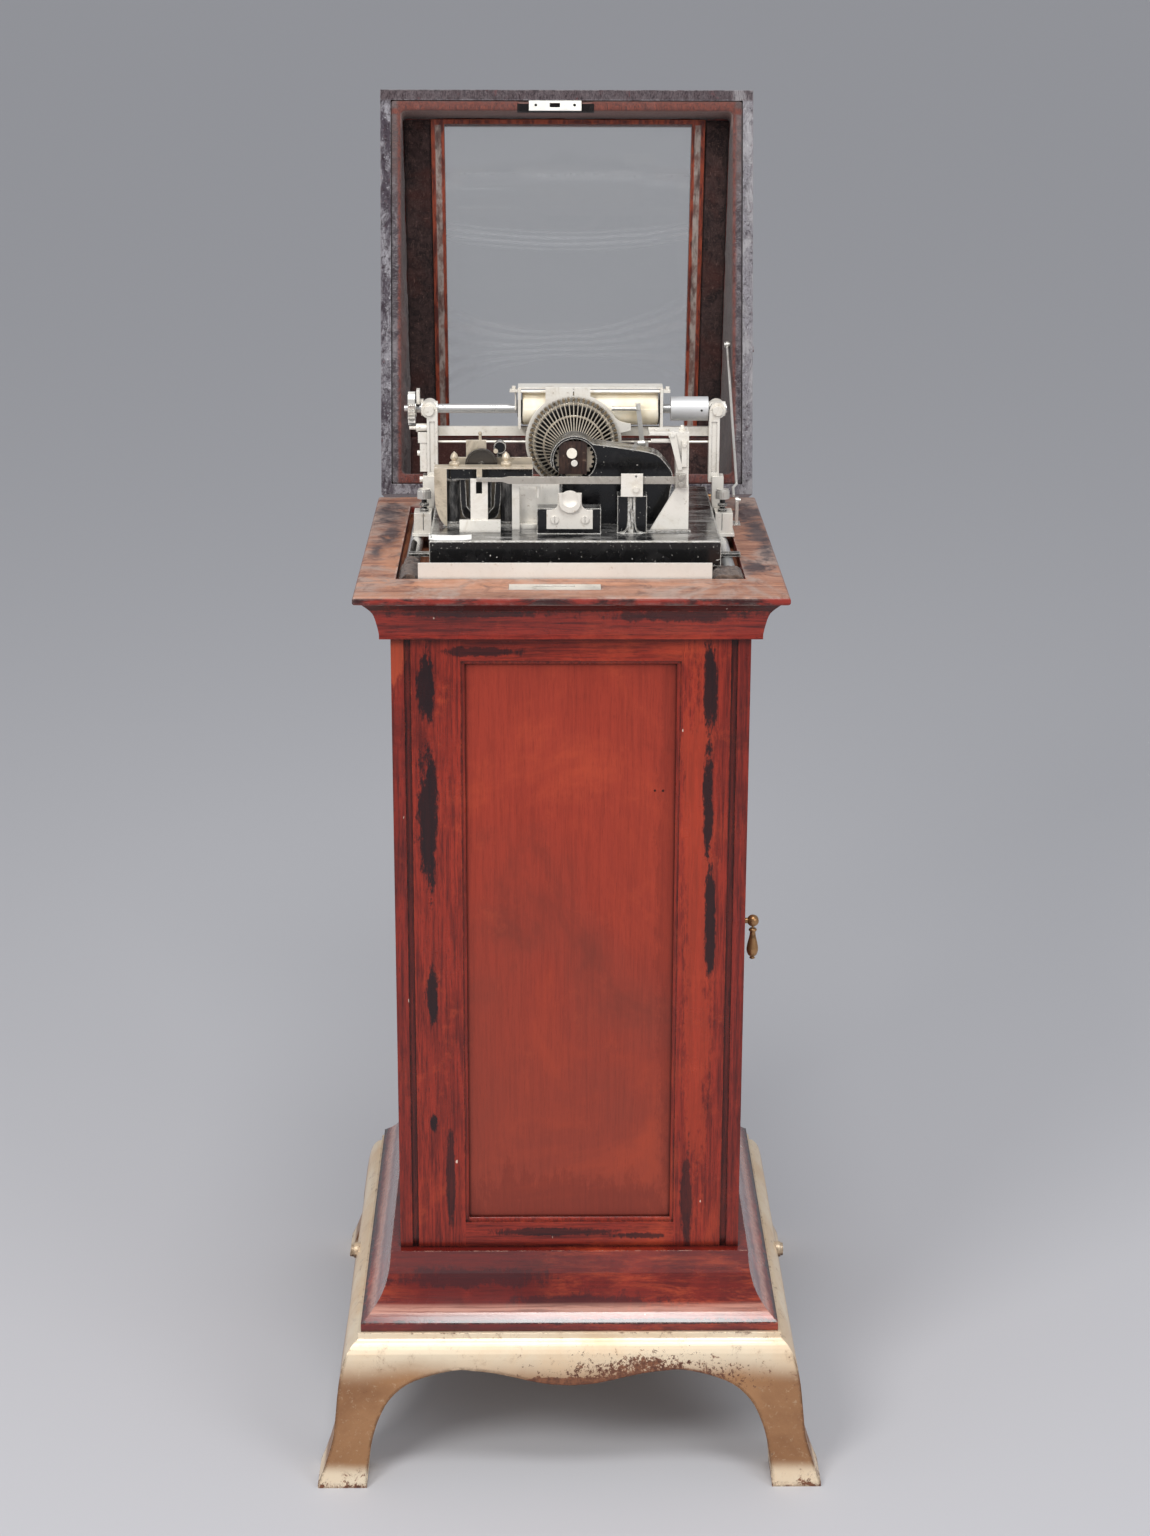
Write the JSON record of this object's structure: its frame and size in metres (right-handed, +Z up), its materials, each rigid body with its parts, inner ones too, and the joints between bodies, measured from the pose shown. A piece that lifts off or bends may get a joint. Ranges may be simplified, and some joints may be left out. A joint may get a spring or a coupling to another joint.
{
  "type": "teleprinter",
  "caption": "Printing telegraph mechanism on a mahogany pedestal with a gilded cabriole base, a hinged glazed lid and a side door.",
  "frame": {"origin": "bottom centre of the bounding box, lid open as in the picture", "axes": "+Z up, +X to the right seen from the front, +Y to the back; the front faces -Y"},
  "size_m": [0.547, 0.8066, 1.4364],
  "materials": {
    "gilt": "gold-bronze paint, worn brown along the edges",
    "mahogany": "old varnish with dark stains",
    "mahogany_panel": "old varnish, lighter and duller",
    "deck_wood": "worn varnish with bare patches",
    "nickel": "old nickel, lightly brushed",
    "old_brass": "tarnished",
    "worn_cloth": "grey cloth over wood, fuzzy and worn",
    "old_glass": "clear, slightly wavy",
    "dark_felt": "dark felt",
    "black_japan": "black enamel with worn pale edges",
    "cream_metal": "nickel with a warm tarnish",
    "dark_steel": "dark oily steel",
    "brown_felt": "grey-brown felt",
    "dark_rubber": "matte",
    "cream_paper": "old paper",
    "brown_board": "brown vulcanised board"
  },
  "bodies": {
    "cabinet": {"gilded_base": "gilt", "plinth_skirt": "mahogany", "bottom_board": "mahogany", "corner_posts": "mahogany", "front_frame": "mahogany", "front_panel": "mahogany_panel", "left_frame": "mahogany", "left_panel": "mahogany_panel", "back_frame": "mahogany", "back_panel": "mahogany_panel", "top_frame": "mahogany", "cornice": "mahogany", "deck": "deck_wood", "deck_fittings": "nickel", "hinge_leaves": "old_brass", "machine_base": "black_japan", "front_strip": "cream_metal", "side_tubes": "nickel", "small_spring": "dark_steel", "felt_wads": "brown_felt", "rail_blocks": "cream_metal", "side_arms": "cream_metal", "rear_rail": "cream_metal", "spring_drum": "nickel", "type_guide": "cream_metal", "black_cover": "black_japan", "brown_plate": "brown_board", "finger_bracket": "nickel", "front_brackets": "cream_metal", "notch_plate": "nickel", "right_column": "cream_metal", "magnets": "black_japan", "magnet_plates": "cream_metal"},
    "door": {"door_frame": "mahogany", "door_panel": "mahogany_panel", "door_fittings": "old_brass"},
    "pull": {"drop_pull": "old_brass"},
    "lid": {"lid_walls": "mahogany", "lid_top": "mahogany", "lid_glass": "old_glass", "lid_bead": "mahogany", "lid_lining": "worn_cloth", "lid_felt": "dark_felt", "lid_fittings": "nickel", "lid_knuckles": "old_brass"},
    "stay": {"stay_rod": "nickel"},
    "shaft": {"feed_shaft": "nickel", "ratchet_wheel": "nickel"},
    "carriage_body": {"carriage": "nickel", "carriage_plates": "nickel"},
    "platen_body": {"platen": "dark_rubber", "paper": "cream_paper"},
    "wheel": {"type_wheel": "nickel", "type_heads": "cream_metal", "wheel_drum": "black_japan"},
    "lever": {"lever_bar": "dark_steel"},
    "nut_left": {"left_nut": "nickel"},
    "nut_right": {"right_nut": "nickel"},
    "flywheel_body": {"flywheel": "dark_steel"},
    "finger": {"paper_finger": "nickel"}
  },
  "joints": [
    {"name": "lid_hinge", "type": "hinge", "parent": "cabinet", "child": "lid", "pos_m": [0, 0.13865, 0.9828], "axis": [1, 0, 0], "range_deg": [0, 105.2]},
    {"name": "stay_swing", "type": "hinge", "parent": "lid", "child": "stay", "pos_m": [0.1892, 0.21904, 1.14707], "axis": [1, 0, 0], "range_deg": [-137.62, 0.1]},
    {"name": "door_hinge", "type": "hinge", "parent": "cabinet", "child": "door", "pos_m": [0.1872, 0.08275, 0.58825], "axis": [0, 0, 1], "range_deg": [0, 110]},
    {"name": "pull_swing", "type": "hinge", "parent": "door", "child": "pull", "pos_m": [0.1945, -0.28585, 0.613], "axis": [0, -1, 0], "range_deg": [0, 80]},
    {"name": "carriage_slide", "type": "slide", "parent": "cabinet", "child": "carriage_body", "axis": [1, 0, 0], "range_m": [-0.074, 0]},
    {"name": "shaft_turn", "type": "hinge", "parent": "cabinet", "child": "shaft", "pos_m": [0, -0.03085, 1.1159], "axis": [1, 0, 0], "continuous": true},
    {"name": "platen_turn", "type": "hinge", "parent": "carriage_body", "child": "platen_body", "pos_m": [0, -0.03085, 1.1159], "axis": [1, 0, 0], "continuous": true},
    {"name": "type_wheel_turn", "type": "hinge", "parent": "cabinet", "child": "wheel", "pos_m": [0.005, -0.10585, 1.0836], "axis": [0, 1, 0], "continuous": true},
    {"name": "lever_rock", "type": "hinge", "parent": "cabinet", "child": "lever", "pos_m": [0.0686, -0.19635, 1.0699], "axis": [0, 1, 0], "range_deg": [-1.2, 1.2]},
    {"name": "left_nut_turn", "type": "hinge", "parent": "cabinet", "child": "nut_left", "pos_m": [-0.158, -0.06785, 1.029], "axis": [0, 0, 1], "continuous": true},
    {"name": "right_nut_turn", "type": "hinge", "parent": "cabinet", "child": "nut_right", "pos_m": [0.168, -0.06785, 1.029], "axis": [0, 0, 1], "continuous": true},
    {"name": "flywheel_turn", "type": "hinge", "parent": "cabinet", "child": "flywheel_body", "pos_m": [-0.0938, -0.14485, 1.076], "axis": [0, 1, 0], "continuous": true},
    {"name": "finger_swing", "type": "hinge", "parent": "cabinet", "child": "finger", "pos_m": [0.0755, -0.05515, 1.082], "axis": [1, 0, 0], "range_deg": [0, 12]}
  ],
  "couplings": [
    {"joint": "stay_swing", "follows": "lid_hinge", "ratio": -1.3063},
    {"joint": "platen_turn", "follows": "shaft_turn", "ratio": 1}
  ]
}
